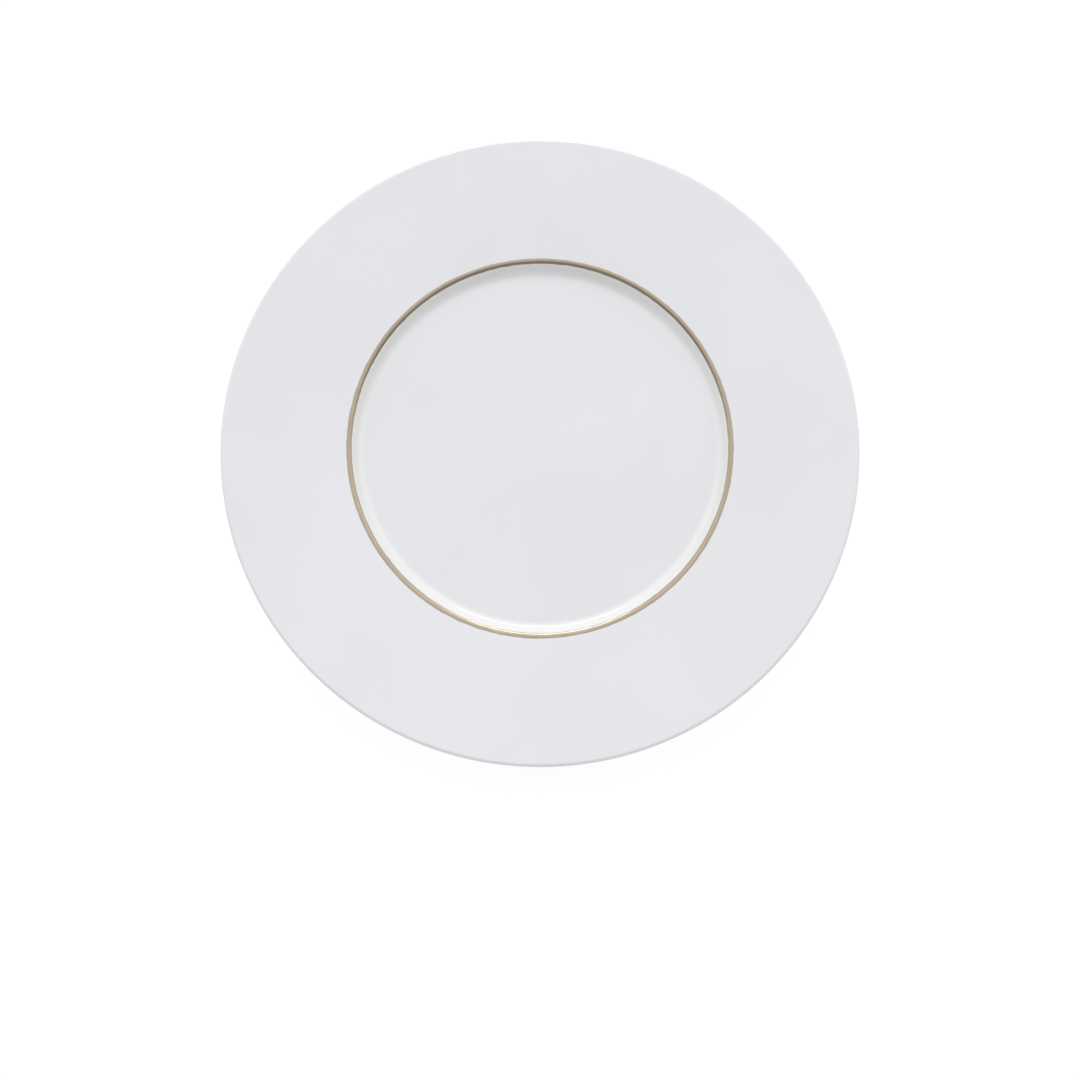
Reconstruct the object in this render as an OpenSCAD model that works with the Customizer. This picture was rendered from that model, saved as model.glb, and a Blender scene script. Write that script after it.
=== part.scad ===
// Wide-rimmed china dinner plate with a fired gold line on the shoulder of its well.
// Millimetres, +Z up. The plate stands on z = 0 and is turned about the Z axis.
//
// Every solid but the mark is a profile in the (radius, height) plane, turned once about Z. The
// profile is a chain of arcs and straight runs that touch smoothly, so each fillet's centre is
// worked out from its neighbours. "Depth" is how far below the finished, glazed surface a curve
// lies: 0 is the glaze's outside, and glaze_t is the fired body beneath it.

/* [Plate] */
// Diameter over the glazed lip
plate_d = 280; // [274:1:290]
// Height of the lip above the table
plate_h = 18.5; // [18:0.1:19.5]

/* [Rim] */
// Thickness of the lip, which is a full round
lip_t = 3; // [2.6:0.1:3.3]
// Rise of the rim's upper face, in degrees
rim_slope = 4.7; // [4.4:0.1:5]
// Rise of the rim's underside, in degrees: more than rim_slope, so the rim thins to the lip
under_slope = 5.2; // [5:0.1:5.6]

/* [Well] */
// Diameter at which the rim starts to roll over into the well
shoulder_d = 169; // [167:0.5:171]
// Radius of the roll-over
shoulder_r = 3; // [2.6:0.1:3.4]
// Slope of the well's straight wall, in degrees
wall_slope = 50; // [46:1:54]
// Radius of the hollow corner between that wall and the well's floor
well_fillet_r = 4.3; // [3.5:0.1:5]
// Height of the middle of the well's floor above the table
floor_h = 9.75; // [9.5:0.05:10.2]
// How far the floor dips in the middle, below its edge
floor_dip = 0.35; // [0.2:0.05:0.5]

/* [Bowl and foot] */
// Outer diameter of the ground flat that the plate stands on
foot_d = 143; // [141:0.5:145]
// Width of that flat
foot_flat_w = 2.2; // [1.8:0.1:2.6]
// Radius of the foot's two edges
foot_edge_r = 1; // [0.8:0.1:1.2]
// Lean of the foot's inner wall from upright, in degrees
foot_lean = 15; // [10:1:20]
// Height of the ceiling inside the foot ring
recess_h = 5.4; // [5:0.1:5.8]
// Radius of the hollow corner between the foot's inner wall and that ceiling
recess_fillet_r = 2.6; // [2:0.1:3]
// Radius of the outer curve from the foot up to the rim
bowl_r = 33.5; // [32:0.5:36]
// Rise of that curve where it leaves the foot, in degrees
bowl_start = 25; // [24:1:27]
// Radius of the hollow corner where the bowl meets the rim's underside
under_fillet_r = 4; // [3:0.5:5]

/* [Glaze and gold] */
// Thickness of the fired glaze
glaze_t = 0.15; // [0.1:0.01:0.2]
// Height at which the glaze stops above the table, outside the foot ring
glaze_stop_h = 0.9; // [0.8:0.1:1.2]
// Slope of the roll-over where the gold starts, in degrees
gold_slope = 36; // [28:1:38]
// Width of the gold that lies on the rim, outside the roll-over
gold_rim_w = 0.8; // [0.4:0.1:1.2]
// Thickness of the fired gold
gold_t = 0.04; // [0.03:0.01:0.08]

/* [Base mark] */
// Diameter of the printed ring under the plate
mark_d = 24; // [18:1:30]
// Width of the ring's line
mark_line_w = 0.6; // [0.4:0.1:1]
// Number of petals in the rosette
mark_petals = 8; // [5:1:10]
// Thickness of the fired print
mark_t = 0.04; // [0.03:0.01:0.08]

/* [Hidden] */

$fn = 96;
chord_error = 0.008; // an arc's chords stay this close to the true curve

// --- Curves ---------------------------------------------------------------------------------

function polar(angle) = [cos(angle), sin(angle)];

function reversed(list) = [for (i = [len(list) - 1 : -1 : 0]) list[i]];

// Points along an arc, from one polar angle to another
function arc(centre, radius, from, to) =
    let (
        step = 2 * acos(1 - chord_error / radius),
        count = max(2, ceil(abs(to - from) / step))
    )
    [for (i = [0 : count]) centre + radius * polar(from + (to - from) * i / count)];

// Where a line from start at an angle crosses a circle: on its way in, or on its way out
function meeting(start, angle, centre, radius, out) =
    let (
        reach = (centre - start) * polar(angle),
        aside = norm(centre - start - reach * polar(angle)),
        half_chord = sqrt(radius * radius - aside * aside)
    )
    start + (out ? reach + half_chord : reach - half_chord) * polar(angle);

function direction(from, to) = atan2(to[1] - from[1], to[0] - from[0]);

// --- Centres of the profile's arcs ------------------------------------------------------------

lip_r = lip_t / 2;
lip_centre = [plate_d / 2 - lip_r, plate_h - lip_r];

// The rim's upper face is the tangent on top of the lip, and it is followed inwards.
rim_normal = 90 + rim_slope;
rim_outer_end = lip_centre + lip_r * polar(rim_normal);
shoulder_start =
    [shoulder_d / 2, rim_outer_end[1] - (rim_outer_end[0] - shoulder_d / 2) * tan(rim_slope)];
shoulder_centre = shoulder_start - shoulder_r * polar(rim_normal);

// The floor is a very shallow dish, and the well's fillet touches both it and the wall, which
// runs straight down from the end of the roll-over.
wall_normal = 90 + wall_slope;
wall_top = shoulder_centre + shoulder_r * polar(wall_normal);
floor_r = shoulder_d * shoulder_d / 8 / floor_dip;
floor_centre = [0, floor_h + floor_r];
well_centre =
    meeting(wall_top + well_fillet_r * polar(wall_normal), wall_slope + 180,
            floor_centre, floor_r - well_fillet_r, true);
floor_edge = direction(floor_centre, well_centre);

// The foot's outer edge runs into the bowl's curve, both on the bare body.
foot_outer = [foot_d / 2, foot_edge_r];
bowl_start_normal = bowl_start - 90;
bowl_centre = foot_outer - (bowl_r - glaze_t - foot_edge_r) * polar(bowl_start_normal);
glaze_stop_normal = asin((glaze_stop_h - bowl_centre[1]) / (bowl_r - glaze_t));

// The rim's underside is the tangent under the lip. The fillet's centre is under_fillet_r
// below that line, and bowl_r + under_fillet_r from the bowl's centre.
under_normal = under_slope - 90;
under_centre =
    meeting(lip_centre + (lip_r + under_fillet_r) * polar(under_normal), under_slope + 180,
            bowl_centre, bowl_r + under_fillet_r, false);
bowl_end_normal = direction(bowl_centre, under_centre);

// Inside the foot ring the wall leans in as it rises, up to a flat ceiling.
foot_inner = [foot_d / 2 - foot_flat_w, foot_edge_r];
inner_normal = foot_lean - 180;
inner_foot = foot_inner + foot_edge_r * polar(inner_normal);
recess_z = recess_h - recess_fillet_r;
recess_reach = recess_fillet_r + glaze_t;
inner_rise = (recess_z + recess_reach * sin(foot_lean) - inner_foot[1]) / cos(foot_lean);
recess_centre =
    [inner_foot[0] - inner_rise * sin(foot_lean) - recess_reach * cos(foot_lean), recess_z];

// --- Profiles ---------------------------------------------------------------------------------

function well_curve(depth) = concat(
    arc(floor_centre, floor_r + depth, -90, floor_edge),
    arc(well_centre, well_fillet_r + depth, floor_edge, wall_normal - 180)
);

// The part of the roll-over that the gold covers
function gilt_curve(depth) =
    arc(shoulder_centre, shoulder_r - depth, 90 + gold_slope, rim_normal);

function shoulder_curve(depth) = concat(
    arc(shoulder_centre, shoulder_r - depth, wall_normal, 90 + gold_slope),
    gilt_curve(depth)
);

// In two halves, so that one point lies exactly on the plate's widest circle
function lip_curve(depth) = concat(
    arc(lip_centre, lip_r - depth, rim_normal, 0),
    arc(lip_centre, lip_r - depth, 0, under_normal)
);

function under_curve(depth) = concat(
    arc(under_centre, under_fillet_r + depth, under_slope + 90, bowl_end_normal + 180),
    arc(bowl_centre, bowl_r - depth, bowl_end_normal, glaze_stop_normal)
);

// From the middle of the well, over the lip, to where the glaze stops under the bowl
function glazed_face(depth) =
    concat(well_curve(depth), shoulder_curve(depth), lip_curve(depth), under_curve(depth));

function bare_foot() = concat(
    arc(bowl_centre, bowl_r - glaze_t, glaze_stop_normal, bowl_start_normal),
    arc(foot_outer, foot_edge_r, bowl_start_normal, -90),
    arc(foot_inner, foot_edge_r, -90, inner_normal)
);

// From the foot's inner wall to the middle of the ceiling
function recess_curve(depth) = concat(
    [inner_foot - (glaze_t - depth) * polar(foot_lean)],
    arc(recess_centre, recess_fillet_r + depth, foot_lean, 90),
    [[0, recess_h + depth]]
);

// --- Sub-parts --------------------------------------------------------------------------------

module turned(profile) {
    rotate_extrude() polygon(profile);
}

// The fired body, in one piece: floor, wall, rim, lip, bowl and foot ring
module china_body() {
    color("ivory")
        turned(concat(glazed_face(glaze_t), bare_foot(), recess_curve(glaze_t)));
}

// The glaze over the well, rim and lip, and under the rim down to the foot
module face_glaze() {
    color("whitesmoke")
        turned(concat(glazed_face(0), reversed(glazed_face(glaze_t))));
}

// The glaze inside the foot ring
module base_glaze() {
    color("white")
        turned(concat(recess_curve(0), reversed(recess_curve(glaze_t))));
}

// The gold line: it follows the upper part of the roll-over and ends a little way out on the rim
module gold_band() {
    rim_end = shoulder_start + gold_rim_w * polar(rim_slope);
    color("goldenrod")
        turned(concat(
            gilt_curve(-gold_t),
            [rim_end + gold_t * polar(rim_normal), rim_end],
            reversed(gilt_curve(0))
        ));
}

// A plain rosette in a ring, printed on the glaze under the plate, with no lettering
module base_mark() {
    rosette_r = mark_d / 2 - 3 * mark_line_w;
    petal_length = 0.7 * rosette_r;
    color("darkgoldenrod")
        translate([0, 0, recess_h - mark_t])
        linear_extrude(mark_t) {
            difference() {
                circle(d = mark_d);
                circle(d = mark_d - 2 * mark_line_w);
            }
            for (i = [0 : mark_petals - 1])
                rotate(i * 360 / mark_petals)
                    translate([rosette_r - petal_length / 2, 0])
                    petal(petal_length, petal_length / 3);
        }
}

// A pointed leaf along X, centred, where two circles overlap
module petal(length, width) {
    side_r = (length * length + width * width) / (4 * width);
    intersection() {
        translate([0, side_r - width / 2]) circle(side_r);
        translate([0, width / 2 - side_r]) circle(side_r);
    }
}

china_body();
face_glaze();
base_glaze();
gold_band();
base_mark();
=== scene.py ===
import math

import bmesh
import bpy
import numpy as np
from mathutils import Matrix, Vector, noise


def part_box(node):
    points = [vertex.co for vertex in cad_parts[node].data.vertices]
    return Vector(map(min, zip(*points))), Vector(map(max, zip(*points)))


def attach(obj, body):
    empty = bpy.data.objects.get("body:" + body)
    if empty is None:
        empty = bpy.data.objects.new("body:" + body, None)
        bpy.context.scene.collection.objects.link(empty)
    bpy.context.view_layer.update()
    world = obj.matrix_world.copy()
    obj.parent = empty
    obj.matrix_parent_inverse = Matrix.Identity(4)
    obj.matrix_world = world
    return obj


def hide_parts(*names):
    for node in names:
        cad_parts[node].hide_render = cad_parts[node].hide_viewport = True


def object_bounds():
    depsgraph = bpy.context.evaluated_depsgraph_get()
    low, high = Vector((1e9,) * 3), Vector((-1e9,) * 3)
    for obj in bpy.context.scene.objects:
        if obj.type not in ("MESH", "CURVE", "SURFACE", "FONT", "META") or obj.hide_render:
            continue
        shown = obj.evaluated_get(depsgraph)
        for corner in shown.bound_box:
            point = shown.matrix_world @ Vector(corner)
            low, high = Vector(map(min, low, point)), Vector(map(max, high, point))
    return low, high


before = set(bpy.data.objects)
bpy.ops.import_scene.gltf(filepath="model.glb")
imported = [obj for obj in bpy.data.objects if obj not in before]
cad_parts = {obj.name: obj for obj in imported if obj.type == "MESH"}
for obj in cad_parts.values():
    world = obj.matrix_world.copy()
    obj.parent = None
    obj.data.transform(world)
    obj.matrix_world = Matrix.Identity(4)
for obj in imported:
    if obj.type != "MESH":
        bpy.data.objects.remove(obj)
cad_low, cad_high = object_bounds()

# --- Sizes ------------------------------------------------------------------------------------

MM = 0.001

PLATE_R = cad_high.x
PLATE_H = cad_high.z
LIP_R = 1.5 * MM
RIM_SLOPE = 4.7
UNDER_SLOPE = 5.2

SHOULDER_START_R = 84.5 * MM
SHOULDER_R = 3 * MM
WALL_SLOPE = 50
WELL_FILLET_R = 4.3 * MM
FLOOR_H = 9.75 * MM
FLOOR_DIP = 0.35 * MM

FOOT_R = 71.5 * MM
FOOT_FLAT_W = 2.2 * MM
FOOT_EDGE_R = 1 * MM
FOOT_LEAN = 15
RECESS_FILLET_R = 2.6 * MM
BOWL_R = 33.5 * MM
BOWL_START = 25
UNDER_FILLET_R = 4 * MM

GLAZE_T = 0.15 * MM
GLAZE_STOP_H = 0.9 * MM
GOLD_SLOPE = 36
GOLD_RIM_W = 0.8 * MM
GOLD_T = 0.04 * MM

mark_low, mark_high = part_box("base_mark")
MARK_R = mark_high.x
MARK_LINE_W = 0.6 * MM
MARK_PETALS = 8
RECESS_H = mark_high.z
MARK_EDGE = 0.02 * MM  # how far the printed line's corners are rounded off
SUNK = 0.01 * MM  # how far a film's back is sunk into the glaze that it is fired on

# How many columns a turned piece has. The gold's edges waver quickly, so it has more.
COLUMNS = 360
GOLD_COLUMNS = 720
SHARP_CORNER = 35  # edges sharper than this, in degrees, aren't shaded smooth

# What the kiln and the hand leave: all far below what the CAD's box would notice. The rim sags
# in two waves, one with two low places round the plate and one with three.
OVAL_SAG = 0.07 * MM
OVAL_START = -0.8
THREE_SAG = 0.035 * MM
THREE_START = 1.1
UNEVEN = 0.012 * MM
UNEVEN_PACE = 35
GOLD_WAVER = 0.07 * MM
GLAZE_LINE_WAVER = 0.25 * MM

# --- Outlines ---------------------------------------------------------------------------------


def polar(angle):
    return np.array([math.cos(math.radians(angle)), math.sin(math.radians(angle))])


def direction(start, end):
    return math.degrees(math.atan2(end[1] - start[1], end[0] - start[0]))


def steps(count, eased=False):
    """Shares from 0 to 1. Eased ones crowd towards both ends, which keeps the shading of a long
    span from spreading out of the tight curve beside it."""
    even = [i / count for i in range(count + 1)]
    return [(1 - math.cos(math.pi * t)) / 2 for t in even] if eased else even


def arc(centre, radius, start, end, count, eased=False):
    return [centre + radius * polar(start + (end - start) * t) for t in steps(count, eased)]


def line(start, end, count):
    return [start + (end - start) * t for t in steps(count, eased=True)]


def meeting(start, angle, centre, radius, way):
    """Where a line from start crosses a circle: way is -1 on its way in and 1 on its way out."""
    reach = (centre - start) @ polar(angle)
    aside = math.dist(centre, start + reach * polar(angle))
    return start + (reach + way * math.sqrt(radius**2 - aside**2)) * polar(angle)


LIP_CENTRE = np.array([PLATE_R - LIP_R, PLATE_H - LIP_R])
RIM_NORMAL = 90 + RIM_SLOPE
RIM_OUTER_END = LIP_CENTRE + LIP_R * polar(RIM_NORMAL)
RIM_RISE = (RIM_OUTER_END[0] - SHOULDER_START_R) * math.tan(math.radians(RIM_SLOPE))
SHOULDER_START = np.array([SHOULDER_START_R, RIM_OUTER_END[1] - RIM_RISE])
SHOULDER_CENTRE = SHOULDER_START - SHOULDER_R * polar(RIM_NORMAL)

FLOOR_R = SHOULDER_START_R**2 / 2 / FLOOR_DIP
FLOOR_CENTRE = np.array([0, FLOOR_H + FLOOR_R])
WALL_NORMAL = 90 + WALL_SLOPE
WELL_START = SHOULDER_CENTRE + (SHOULDER_R + WELL_FILLET_R) * polar(WALL_NORMAL)
WELL_CENTRE = meeting(WELL_START, WALL_SLOPE + 180, FLOOR_CENTRE, FLOOR_R - WELL_FILLET_R, 1)
FLOOR_EDGE = direction(FLOOR_CENTRE, WELL_CENTRE)

FOOT_OUTER = np.array([FOOT_R, FOOT_EDGE_R])
BOWL_START_NORMAL = BOWL_START - 90
BOWL_CENTRE = FOOT_OUTER - (BOWL_R - GLAZE_T - FOOT_EDGE_R) * polar(BOWL_START_NORMAL)
GLAZE_STOP = math.degrees(math.asin((GLAZE_STOP_H - BOWL_CENTRE[1]) / (BOWL_R - GLAZE_T)))

UNDER_NORMAL = UNDER_SLOPE - 90
UNDER_START = LIP_CENTRE + (LIP_R + UNDER_FILLET_R) * polar(UNDER_NORMAL)
UNDER_CENTRE = meeting(UNDER_START, UNDER_SLOPE + 180, BOWL_CENTRE, BOWL_R + UNDER_FILLET_R, -1)
BOWL_END = direction(BOWL_CENTRE, UNDER_CENTRE)

GOLD_OUTER_R = SHOULDER_START_R + GOLD_RIM_W
GOLD_INNER_R = (SHOULDER_CENTRE + SHOULDER_R * polar(90 + GOLD_SLOPE))[0]

FOOT_INNER = np.array([FOOT_R - FOOT_FLAT_W, FOOT_EDGE_R])
INNER_NORMAL = FOOT_LEAN - 180
INNER_FOOT = FOOT_INNER + FOOT_EDGE_R * polar(INNER_NORMAL)
RECESS_REACH = RECESS_FILLET_R + GLAZE_T
RECESS_Z = RECESS_H - RECESS_FILLET_R
LEAN = math.radians(FOOT_LEAN)
INNER_RISE = (RECESS_Z + RECESS_REACH * math.sin(LEAN) - INNER_FOOT[1]) / math.cos(LEAN)
RECESS_CENTRE = np.array(
    [INNER_FOOT[0] - INNER_RISE * math.sin(LEAN) - RECESS_REACH * math.cos(LEAN), RECESS_Z]
)


def glazed_face(depth, fine, stop=GLAZE_STOP):
    """From the middle of the well, over the rim and lip, down to where the glaze stops. depth is
    how far below the glaze's outside it lies, and fine multiplies the number of points."""
    return (
        arc(FLOOR_CENTRE, FLOOR_R + depth, -90, FLOOR_EDGE, 8 * fine, eased=True)
        + arc(WELL_CENTRE, WELL_FILLET_R + depth, FLOOR_EDGE, WALL_NORMAL - 180, 8 * fine)[1:]
        + line(
            WELL_CENTRE - (WELL_FILLET_R + depth) * polar(WALL_NORMAL),
            SHOULDER_CENTRE + (SHOULDER_R - depth) * polar(WALL_NORMAL),
            3 * fine,
        )[1:]
        + arc(SHOULDER_CENTRE, SHOULDER_R - depth, WALL_NORMAL, RIM_NORMAL, 9 * fine)[1:]
        + line(
            SHOULDER_START - depth * polar(RIM_NORMAL),
            RIM_OUTER_END - depth * polar(RIM_NORMAL),
            7 * fine,
        )[1:]
        + arc(LIP_CENTRE, LIP_R - depth, RIM_NORMAL, 0, 11 * fine)[1:]
        + arc(LIP_CENTRE, LIP_R - depth, 0, UNDER_NORMAL, 10 * fine)[1:]
        + line(
            LIP_CENTRE + (LIP_R - depth) * polar(UNDER_NORMAL),
            UNDER_CENTRE - (UNDER_FILLET_R + depth) * polar(UNDER_NORMAL),
            6 * fine,
        )[1:]
        + arc(
            UNDER_CENTRE, UNDER_FILLET_R + depth, UNDER_SLOPE + 90, BOWL_END + 180, 5 * fine
        )[1:]
        + arc(BOWL_CENTRE, BOWL_R - depth, BOWL_END, stop, 8 * fine)[1:]
    )


def recess_curve(depth, fine):
    """From the foot's inner wall to the middle of the ceiling inside the foot ring."""
    fillet = arc(RECESS_CENTRE, RECESS_FILLET_R + depth, FOOT_LEAN, 90, 8 * fine)
    return (
        line(INNER_FOOT - (GLAZE_T - depth) * polar(FOOT_LEAN), fillet[0], 2 * fine)
        + fillet[1:]
        + line(fillet[-1], np.array([0, RECESS_H + depth]), 6 * fine)[1:]
    )


def bare_foot():
    """The foot ring that the glaze is wiped off, from the bowl round to its inner wall."""
    return (
        arc(BOWL_CENTRE, BOWL_R - GLAZE_T, GLAZE_STOP, BOWL_START_NORMAL, 2)
        + arc(FOOT_OUTER, FOOT_EDGE_R, BOWL_START_NORMAL, -90, 12)[1:]
        + arc(FOOT_INNER, FOOT_EDGE_R, -90, INNER_NORMAL, 12)
    )


def bead(centre, start):
    """The rounded end of the glaze: half a turn about the middle of its thickness."""
    return arc(centre, GLAZE_T / 2, start, start - 180, 6)[1:-1]


# --- Meshes -----------------------------------------------------------------------------------


def waver(turn, seed, size, pace):
    """A smooth, repeatable wandering round the plate, from about -size to size."""
    where = Vector((math.cos(turn), math.sin(turn), 0)) * pace
    return size * 2 * noise.noise(where + Vector((seed, seed * 0.37, seed * 0.61)))


def smooth(share):
    share = min(max(share, 0), 1)
    return share * share * (3 - 2 * share)


def fired(radius, turn, height):
    """Where a point of the turned form ends up. The rim sags a little in the kiln, unevenly, and
    only ever downwards, and the pressed clay isn't quite even."""
    reach = smooth((radius - FOOT_R) / (PLATE_R - FOOT_R))
    oval = OVAL_SAG * (1 - math.cos(2 * turn + OVAL_START))
    three = THREE_SAG * (1 - math.cos(3 * turn + THREE_START))
    point = Vector((radius * math.cos(turn), radius * math.sin(turn), height))
    flat = Vector((point.x, point.y, 0))
    point.z -= reach * (oval + three + UNEVEN * (1 + noise.noise(flat * UNEVEN_PACE)))
    return point


def add_piece(name, points, faces):
    """A mesh piece, smooth but for its sharp edges, with its faces outward."""
    mesh = bpy.data.meshes.new(name)
    mesh.from_pydata(points, [], faces)
    shaped = bmesh.new()
    shaped.from_mesh(mesh)
    bmesh.ops.recalc_face_normals(shaped, faces=shaped.faces)
    shaped.to_mesh(mesh)
    shaped.free()
    mesh.shade_smooth()
    mesh.set_sharp_from_angle(angle=math.radians(SHARP_CORNER))
    piece = bpy.data.objects.new(name, mesh)
    bpy.context.scene.collection.objects.link(piece)
    return piece


def turned(name, outline_at, columns):
    """A solid turned about Z. outline_at gives the closed outline at a turn in radians; points on
    the axis become one point each."""
    outlines = [outline_at(2 * math.pi * i / columns) for i in range(columns)]
    count = len(outlines[0])
    on_axis = [abs(r) < 1e-9 for r, z in outlines[0]]
    points = []
    index = {}
    for column, outline in enumerate(outlines):
        turn = 2 * math.pi * column / columns
        for k, (r, z) in enumerate(outline):
            if on_axis[k] and column:
                index[column, k] = index[0, k]
                continue
            index[column, k] = len(points)
            points.append(fired(r, turn, z))
    faces = []
    for column in range(columns):
        after = (column + 1) % columns
        for k in range(count):
            m = (k + 1) % count
            if on_axis[k] and on_axis[m]:
                continue
            ring = [index[column, k], index[column, m], index[after, m], index[after, k]]
            faces.append(list(dict.fromkeys(ring)))
    return add_piece(name, points, faces)


def china_body_outline(turn):
    face = glazed_face(GLAZE_T, fine=1)
    return face + bare_foot()[1:] + recess_curve(GLAZE_T, fine=1)[1:]


def face_glaze_outline(turn):
    wander = waver(turn, seed=3, size=GLAZE_LINE_WAVER, pace=5)
    stop = GLAZE_STOP + math.degrees(wander / BOWL_R)
    end = BOWL_CENTRE + (BOWL_R - GLAZE_T / 2) * polar(stop)
    outside = glazed_face(0, fine=2, stop=stop)
    inside = glazed_face(GLAZE_T, fine=1, stop=stop)
    return outside + bead(end, stop) + inside[::-1]


def base_glaze_outline(turn):
    end = INNER_FOOT - GLAZE_T / 2 * polar(FOOT_LEAN)
    outside = recess_curve(0, fine=2)
    inside = recess_curve(GLAZE_T, fine=1)
    return outside + inside[::-1] + bead(end, FOOT_LEAN)


def gold_outline(turn):
    """A brushed line: it swells from nothing at each edge, and its edges waver."""
    wander = waver(turn, seed=11, size=GOLD_WAVER, pace=24)
    inner = 90 + GOLD_SLOPE + math.degrees(wander / SHOULDER_R)
    rim_w = GOLD_RIM_W + waver(turn, seed=17, size=GOLD_WAVER, pace=31)
    normals = [polar(inner + (RIM_NORMAL - inner) * t) for t in steps(22)]
    rolled = [(SHOULDER_CENTRE + SHOULDER_R * normal, normal) for normal in normals]
    flat = [
        (SHOULDER_START + rim_w * t * polar(RIM_SLOPE), polar(RIM_NORMAL)) for t in steps(8)[1:]
    ]
    path = rolled + flat
    last = len(path) - 1
    thick = [GOLD_T * math.sin(math.pi * i / last) ** 0.4 for i in range(last + 1)]
    top = [point + normal * t for (point, normal), t in zip(path, thick)]
    back = [point - normal * SUNK for point, normal in path]
    return top + back[::-1]


def mark_ring_outline(turn):
    """The ring's printed line, its back sunk into the glaze above it."""
    inner = MARK_R - MARK_LINE_W
    low = mark_low.z
    back = RECESS_H + SUNK
    return [
        (inner, back),
        (inner, low + MARK_EDGE),
        (inner + MARK_EDGE, low),
        (MARK_R - MARK_EDGE, low),
        (MARK_R, low + MARK_EDGE),
        (MARK_R, back),
    ]


def add_petals():
    """The rosette's leaves, each where two circles overlap, as thin closed prisms."""
    rosette_r = MARK_R - 3 * MARK_LINE_W
    length = 0.7 * rosette_r
    width = length / 3
    side_r = (length**2 + width**2) / (4 * width)
    half_turn = math.degrees(math.asin(length / 2 / side_r))
    away = np.array([0, side_r - width / 2])
    edge = (
        arc(-away, side_r, 90 + half_turn, 90 - half_turn, 20)
        + arc(away, side_r, half_turn - 90, -half_turn - 90, 20)[1:-1]
    )
    middle = rosette_r - length / 2
    points = []
    faces = []
    for i in range(MARK_PETALS):
        turn = 2 * math.pi * i / MARK_PETALS
        start = len(points)
        for height in (mark_low.z, RECESS_H + SUNK):
            for x, y in edge:
                across = (middle + x) * math.cos(turn) - y * math.sin(turn)
                up = (middle + x) * math.sin(turn) + y * math.cos(turn)
                points.append(Vector((across, up, height)))
        count = len(edge)
        faces.append([start + k for k in range(count)])
        faces.append([start + count + k for k in range(count)])
        for k in range(count):
            m = (k + 1) % count
            faces.append([start + k, start + m, start + count + m, start + count + k])
    return add_piece("base_mark_petals", points, faces)


# --- Finishes ---------------------------------------------------------------------------------


class Finish:
    """A material being put together: short calls for the nodes that the finishes share. Every
    pattern is placed by the object's own coordinates, in metres."""

    def __init__(self, name):
        self.material = bpy.data.materials.new(name)
        self.material.use_nodes = True
        self.tree = self.material.node_tree
        self.surface = self.tree.nodes["Principled BSDF"]
        self.place = self.node("ShaderNodeTexCoord").outputs["Object"]
        across = self.node("ShaderNodeVectorMath", operation="MULTIPLY")
        self.fill(across.inputs[0], self.place)
        self.fill(across.inputs[1], (1, 1, 0))
        length = self.node("ShaderNodeVectorMath", operation="LENGTH")
        self.fill(length.inputs[0], across.outputs[0])
        self.radius = length.outputs["Value"]
        toward = self.node("ShaderNodeVectorMath", operation="NORMALIZE")
        self.fill(toward.inputs[0], across.outputs[0])
        self.toward = toward.outputs[0]
        split = self.node("ShaderNodeSeparateXYZ")
        self.fill(split.inputs[0], self.place)
        self.height = split.outputs["Z"]

    def node(self, kind, **settings):
        made = self.tree.nodes.new(kind)
        for key, value in settings.items():
            setattr(made, key, value)
        return made

    def fill(self, socket, value):
        if isinstance(value, bpy.types.NodeSocket):
            self.tree.links.new(value, socket)
        else:
            socket.default_value = value

    def math(self, operation, first, second=0.0):
        made = self.node("ShaderNodeMath", operation=operation)
        self.fill(made.inputs[0], first)
        self.fill(made.inputs[1], second)
        return made.outputs[0]

    def between(self, value, low, high, to_low=0.0, to_high=1.0):
        """value's way from low to high, eased, as a number from to_low to to_high."""
        made = self.node("ShaderNodeMapRange", interpolation_type="SMOOTHSTEP")
        self.fill(made.inputs["Value"], value)
        self.fill(made.inputs["From Min"], low)
        self.fill(made.inputs["From Max"], high)
        self.fill(made.inputs["To Min"], to_low)
        self.fill(made.inputs["To Max"], to_high)
        return made.outputs["Result"]

    def noise(self, scale, detail=2.0, where=None):
        made = self.node("ShaderNodeTexNoise")
        self.fill(made.inputs["Vector"], self.place if where is None else where)
        self.fill(made.inputs["Scale"], scale)
        self.fill(made.inputs["Detail"], detail)
        return made.outputs["Fac"]

    def along_turn(self, turn_pace, radius_pace):
        """A place whose patterns run round the plate as streaks, with no seam."""
        made = self.node("ShaderNodeVectorMath", operation="SCALE")
        self.fill(made.inputs[0], self.toward)
        self.fill(made.inputs["Scale"], turn_pace)
        out = self.node("ShaderNodeVectorMath", operation="ADD")
        self.fill(out.inputs[0], made.outputs[0])
        rise = self.node("ShaderNodeCombineXYZ")
        self.fill(rise.inputs["Z"], self.math("MULTIPLY", self.radius, radius_pace))
        self.fill(out.inputs[1], rise.outputs[0])
        return out.outputs[0]

    def blend(self, share, first, second):
        made = self.node("ShaderNodeMix", data_type="RGBA")
        self.fill(made.inputs["Factor"], share)
        self.fill(made.inputs["A"], first)
        self.fill(made.inputs["B"], second)
        return made.outputs["Result"]

    def colour(self, value):
        self.fill(self.surface.inputs["Base Color"], value)

    def rough(self, value):
        self.fill(self.surface.inputs["Roughness"], value)

    def bump(self, height, depth, under=None):
        """Raises the surface by depth metres where height is 1, on top of another bump."""
        made = self.node("ShaderNodeBump")
        self.fill(made.inputs["Strength"], 1.0)
        self.fill(made.inputs["Distance"], depth)
        self.fill(made.inputs["Height"], height)
        if under is not None:
            self.fill(made.inputs["Normal"], under)
        self.fill(self.surface.inputs["Normal"], made.outputs["Normal"])
        return made.outputs["Normal"]


def rgb(red, green, blue):
    return (red, green, blue, 1.0)


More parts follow.
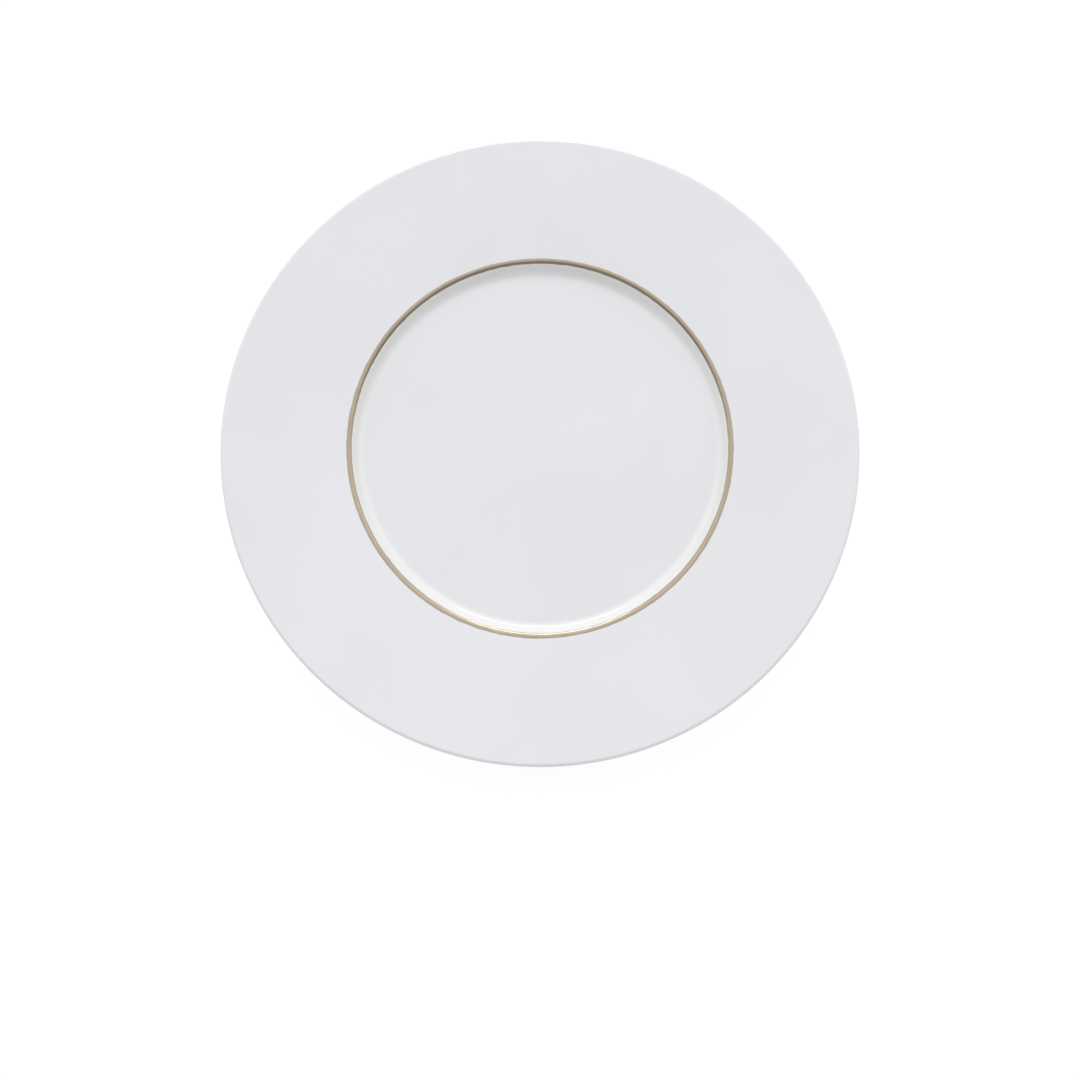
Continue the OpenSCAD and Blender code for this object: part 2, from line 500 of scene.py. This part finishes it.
WHITE = rgb(0.83, 0.837, 0.868)
WHITE_SHADE = rgb(0.812, 0.818, 0.845)
# Painted light: a whiter white laid on the well's wall so that it looks more brightly lit.
WHITE_PAINTED_LIGHT = rgb(0.885, 0.88, 0.872)
WHITE_THIN = rgb(0.83, 0.828, 0.82)
SPECK = rgb(0.42, 0.38, 0.33)

WALL_LIGHT_INNER_R = 79.5 * MM  # where the painted light on the well's wall starts, at the foot of the wall
WALL_LIGHT_OUTER_R = 82.8 * MM  # where the painted light ends again, at the gold
WALL_LIGHT_LOW = 9.4 * MM  # the same radii lie under the plate too, below this height
GLAZE_IOR = 1.52


def painted_wall_light(finish):
    """How far the well's wall is painted whiter as painted light, from 0 to 0.9."""
    inner = finish.between(finish.radius, WALL_LIGHT_INNER_R - 2.5 * MM, WALL_LIGHT_INNER_R)
    outer = finish.between(finish.radius, WALL_LIGHT_OUTER_R + 0.8 * MM, WALL_LIGHT_OUTER_R)
    above = finish.between(finish.height, WALL_LIGHT_LOW, WALL_LIGHT_LOW + 0.5 * MM)
    on_wall = finish.math("MULTIPLY", inner, outer)
    return finish.math("MULTIPLY", finish.math("MULTIPLY", on_wall, above), 0.9)


def kiln_specks(finish, share):
    """Half-clear specks, one in the middle of some cells of a pattern: share says how many."""
    cells = finish.node("ShaderNodeTexVoronoi")
    finish.fill(cells.inputs["Vector"], finish.place)
    finish.fill(cells.inputs["Scale"], 150.0)
    chosen = finish.node("ShaderNodeSeparateColor")
    finish.fill(chosen.inputs[0], cells.outputs["Color"])
    picked = finish.math("GREATER_THAN", chosen.outputs[0], 1 - share)
    dot = finish.between(cells.outputs["Distance"], 0.022, 0.008)
    return finish.math("MULTIPLY", finish.math("MULTIPLY", picked, dot), 0.5)


def glaze_finish(name, specks):
    """Glaze over white china: painted whiter on the well's wall as painted light, warmer where it
    is thin over the lip, with faint jigger rings, an orange-peel skin and a few kiln specks."""
    finish = Finish(name)
    cloud = finish.between(finish.noise(scale=16, detail=3), 0.35, 0.65)
    white = finish.blend(cloud, WHITE, WHITE_SHADE)
    # Painted light: the well's wall is painted whiter so that it looks more brightly lit.
    white = finish.blend(painted_wall_light(finish), white, WHITE_PAINTED_LIGHT)
    thin = finish.between(finish.radius, PLATE_R - 1.6 * MM, PLATE_R - 0.2 * MM, 0.0, 0.8)
    white = finish.blend(thin, white, WHITE_THIN)
    finish.colour(finish.blend(kiln_specks(finish, specks), white, SPECK))

    smear = finish.noise(scale=28, detail=4)
    finish.rough(finish.between(smear, 0.3, 0.75, 0.055, 0.115))

    jiggered = finish.along_turn(turn_pace=0.0, radius_pace=1.0)
    rings = finish.noise(scale=190, detail=1, where=jiggered)
    skin = finish.noise(scale=230, detail=2)
    under = finish.bump(rings, depth=0.010 * MM)
    finish.bump(skin, depth=0.012 * MM, under=under)
    finish.surface.inputs["IOR"].default_value = GLAZE_IOR
    return finish.material


CHINA = rgb(0.78, 0.75, 0.70)
CHINA_DARK = rgb(0.70, 0.665, 0.61)
SCUFF = rgb(0.42, 0.41, 0.40)


def bare_china_finish():
    """Fired, unglazed china: matt and fine-grained, with grey table scuffs on the ground flat."""
    finish = Finish("bare_china")
    tone = finish.between(finish.noise(scale=120, detail=3), 0.3, 0.7)
    china = finish.blend(tone, CHINA, CHINA_DARK)
    scratched = finish.along_turn(turn_pace=30.0, radius_pace=2600.0)
    streaks = finish.noise(scale=1, detail=3, where=scratched)
    touching = finish.between(finish.height, 0.3 * MM, 0.02 * MM)
    scuffed = finish.math("MULTIPLY", finish.between(streaks, 0.46, 0.66), touching)
    finish.colour(finish.blend(finish.math("MULTIPLY", scuffed, 0.6), china, SCUFF))
    grain = finish.noise(scale=5200, detail=2)
    finish.rough(finish.between(grain, 0.3, 0.7, 0.52, 0.72))
    pits = finish.bump(finish.noise(scale=1700, detail=2), depth=0.02 * MM)
    finish.bump(grain, depth=0.008 * MM, under=pits)
    return finish.material


GOLD = rgb(0.50, 0.425, 0.33)
GOLD_DEEP = rgb(0.385, 0.318, 0.24)
GOLD_EDGE = rgb(0.43, 0.355, 0.27)
GOLD_THIN = rgb(0.32, 0.265, 0.205)


def gold_finish():
    """Fired bright gold, pale champagne: brushed round in one stroke, so its streaks run with the
    line, and thinner and browner along its edges, most of all where it runs down into the well."""
    finish = Finish("gold")
    brushed = finish.along_turn(turn_pace=14.0, radius_pace=5200.0)
    streaks = finish.noise(scale=1, detail=3, where=brushed)
    loaded = finish.along_turn(turn_pace=3.0, radius_pace=0.0)
    stroke = finish.noise(scale=1, detail=2, where=loaded)
    tone = finish.between(streaks, 0.35, 0.7, 0.0, 0.6)
    gold = finish.blend(tone, GOLD, GOLD_DEEP)
    heavy = finish.between(stroke, 0.35, 0.65, 0.0, 0.35)
    gold = finish.blend(heavy, gold, GOLD_DEEP)
    outer = finish.between(finish.radius, GOLD_OUTER_R - 0.35 * MM, GOLD_OUTER_R, 0.0, 0.6)
    gold = finish.blend(outer, gold, GOLD_EDGE)
    inner = finish.between(
        finish.radius, GOLD_INNER_R + 1.2 * MM, GOLD_INNER_R + 0.2 * MM, 0.0, 0.5
    )
    finish.colour(finish.blend(inner, gold, GOLD_THIN))
    finish.rough(finish.between(streaks, 0.3, 0.7, 0.13, 0.24))
    finish.bump(streaks, depth=0.004 * MM)
    finish.surface.inputs["Metallic"].default_value = 1.0
    return finish.material


ENAMEL = rgb(0.36, 0.26, 0.12)
ENAMEL_THIN = rgb(0.55, 0.46, 0.32)


def mark_finish():
    """A fired-on print: its film is a little uneven, thin in spots, and satin."""
    finish = Finish("mark_enamel")
    film = finish.noise(scale=900, detail=3)
    spots = finish.between(film, 0.48, 0.68, 0.0, 0.8)
    finish.colour(finish.blend(spots, ENAMEL, ENAMEL_THIN))
    finish.rough(finish.between(film, 0.3, 0.7, 0.28, 0.42))
    finish.bump(film, depth=0.006 * MM)
    return finish.material


# --- Pieces -----------------------------------------------------------------------------------


def place(piece, material, node):
    """Gives a piece its material, sets what it rides on and hides the CAD node that it stands for.
    """
    piece.data.materials.append(material)
    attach(piece, "root")
    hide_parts(node)


bare_china = bare_china_finish()
face_glaze = glaze_finish("glaze_face", specks=0.035)
base_glaze = glaze_finish("glaze_base", specks=0.06)
gold_lustre = gold_finish()
enamel = mark_finish()

body = turned("china_body_fired", china_body_outline, COLUMNS)
face_coat = turned("face_glaze_coat", face_glaze_outline, COLUMNS)
base_coat = turned("base_glaze_coat", base_glaze_outline, COLUMNS)
gold_line = turned("gold_line", gold_outline, GOLD_COLUMNS)
mark_ring = turned("base_mark_ring", mark_ring_outline, COLUMNS)

place(body, bare_china, "china_body")
place(face_coat, face_glaze, "face_glaze")
place(base_coat, base_glaze, "base_glaze")
place(gold_line, gold_lustre, "gold_band")
place(mark_ring, enamel, "base_mark")
place(add_petals(), enamel, "base_mark")

# --- Stage ------------------------------------------------------------------------------------

FLOOR_RADIUS = 15
FLOOR_CORNERS = 128
FLOOR_GLOW = 0.79  # how bright it is by itself, so that only a faint shadow shows on it
FLOOR_ALBEDO = 0.28


def add_floor():
    """A pale, evenly lit table that runs out of sight, with only a soft shadow on it."""
    turns = [2 * math.pi * i / FLOOR_CORNERS for i in range(FLOOR_CORNERS)]
    ring = [(math.cos(turn) * FLOOR_RADIUS, math.sin(turn) * FLOOR_RADIUS, 0) for turn in turns]
    mesh = bpy.data.meshes.new("floor")
    mesh.from_pydata(ring, [], [list(range(FLOOR_CORNERS))])
    floor = bpy.data.objects.new("floor", mesh)
    bpy.context.scene.collection.objects.link(floor)
    material = bpy.data.materials.new("floor")
    material.use_nodes = True
    nodes = material.node_tree.nodes
    nodes.clear()
    diffuse = nodes.new("ShaderNodeBsdfDiffuse")
    diffuse.inputs["Color"].default_value = rgb(FLOOR_ALBEDO, FLOOR_ALBEDO, FLOOR_ALBEDO)
    glow = nodes.new("ShaderNodeEmission")
    glow.inputs["Strength"].default_value = FLOOR_GLOW
    both = nodes.new("ShaderNodeAddShader")
    out = nodes.new("ShaderNodeOutputMaterial")
    links = material.node_tree.links
    links.new(diffuse.outputs[0], both.inputs[0])
    links.new(glow.outputs[0], both.inputs[1])
    links.new(both.outputs[0], out.inputs["Surface"])
    mesh.materials.append(material)


HORIZON = 0.46  # how bright the studio is at the level of the floor
SKY = 1.01  # how bright it is above that
SKY_BACK = 0.30  # how much brighter it is behind the plate, at +Y
FRONT_DIP = 0.50  # how much darker it is high up in front of the plate, at -Y
ZENITH_DIP = 0.08  # how much darker it is straight above


def add_world():
    """A white studio: bright above its dim horizon, but darker high up in front of the plate, and
    plain white where the camera looks past the floor. The way looked is a unit vector, whose Z
    is 0 at the horizon and 1 straight up, and whose Y is 1 straight behind the plate."""
    world = bpy.data.worlds.new("studio")
    world.use_nodes = True
    bpy.context.scene.world = world
    nodes = world.node_tree.nodes
    links = world.node_tree.links
    nodes.clear()
    where = nodes.new("ShaderNodeTexCoord")
    split = nodes.new("ShaderNodeSeparateXYZ")
    links.new(where.outputs["Generated"], split.inputs[0])

    def joined(operation, first, second):
        made = nodes.new("ShaderNodeMath")
        made.operation = operation
        links.new(first, made.inputs[0])
        links.new(second, made.inputs[1])
        return made.outputs[0]

    def step(axis, low, high, start, end):
        """Goes from start to end as that axis of the way looked goes from low to high."""
        made = nodes.new("ShaderNodeMapRange")
        made.interpolation_type = "SMOOTHSTEP"
        links.new(split.outputs[axis], made.inputs["Value"])
        made.inputs["From Min"].default_value = low
        made.inputs["From Max"].default_value = high
        made.inputs["To Min"].default_value = start
        made.inputs["To Max"].default_value = end
        return made.outputs["Result"]

    above = SKY - HORIZON
    behind = step("Y", 0.0, 0.5, above, above + SKY_BACK)
    sides = joined("MULTIPLY", behind, step("Z", 0.03, 0.42, 0.0, 1.0))
    high = step("Z", 0.2, 0.62, 0.0, 1.0)
    in_front = joined("MULTIPLY", step("Y", -0.14, 0.16, -FRONT_DIP, 0.0), high)
    overhead = step("Z", 0.78, 0.98, HORIZON, HORIZON - ZENITH_DIP)
    brightness = joined("ADD", joined("ADD", sides, in_front), overhead)

    studio = nodes.new("ShaderNodeBackground")
    links.new(brightness, studio.inputs["Strength"])
    open_white = nodes.new("ShaderNodeBackground")
    path = nodes.new("ShaderNodeLightPath")
    choice = nodes.new("ShaderNodeMixShader")
    out = nodes.new("ShaderNodeOutputWorld")
    links.new(path.outputs["Is Camera Ray"], choice.inputs[0])
    links.new(studio.outputs[0], choice.inputs[1])
    links.new(open_white.outputs[0], choice.inputs[2])
    studio.inputs["Color"].default_value = rgb(1, 1, 1)
    open_white.inputs["Color"].default_value = rgb(1, 1, 1)
    links.new(choice.outputs[0], out.inputs["Surface"])


def add_softbox(name, azimuth, elevation, distance, size, power):
    """A rectangular area light that faces the plate. Azimuth 0 is in front of the plate, at -Y,
    and 90 is at +X."""
    data = bpy.data.lights.new(name, "AREA")
    data.shape = "RECTANGLE"
    data.size, data.size_y = size
    data.energy = power
    box = bpy.data.objects.new(name, data)
    a, e = math.radians(azimuth), math.radians(elevation)
    away = Vector((math.sin(a) * math.cos(e), -math.cos(a) * math.cos(e), math.sin(e)))
    box.location = away * distance
    box.rotation_euler = away.to_track_quat("Z", "Y").to_euler()
    box.visible_camera = False
    bpy.context.scene.collection.objects.link(box)


add_floor()
add_world()
add_softbox("key_back", azimuth=180, elevation=32, distance=2.2, size=(1.4, 0.4), power=9)

# --- Camera -----------------------------------------------------------------------------------

CAMERA_ELEVATION = 78.2  # degrees above the table, in front of the plate, at -Y
CAMERA_DISTANCE = 0.589  # from the plate's middle, in metres
CAMERA_LENS = 44.1  # focal length, in millimetres
AIM = Vector((0, -0.0417, PLATE_H / 2))  # before the middle, so the plate sits high in the frame

camera_data = bpy.data.cameras.new("camera")
camera_data.lens = CAMERA_LENS
camera_data.sensor_width = 36
camera = bpy.data.objects.new("camera", camera_data)
tilt = math.radians(CAMERA_ELEVATION)
camera.location = Vector((0, -math.cos(tilt), math.sin(tilt))) * CAMERA_DISTANCE
camera.location.z += PLATE_H / 2
camera.rotation_euler = (AIM - camera.location).to_track_quat("-Z", "Y").to_euler()
bpy.context.scene.collection.objects.link(camera)
bpy.context.scene.camera = camera
bpy.context.scene.view_settings.view_transform = "Standard"
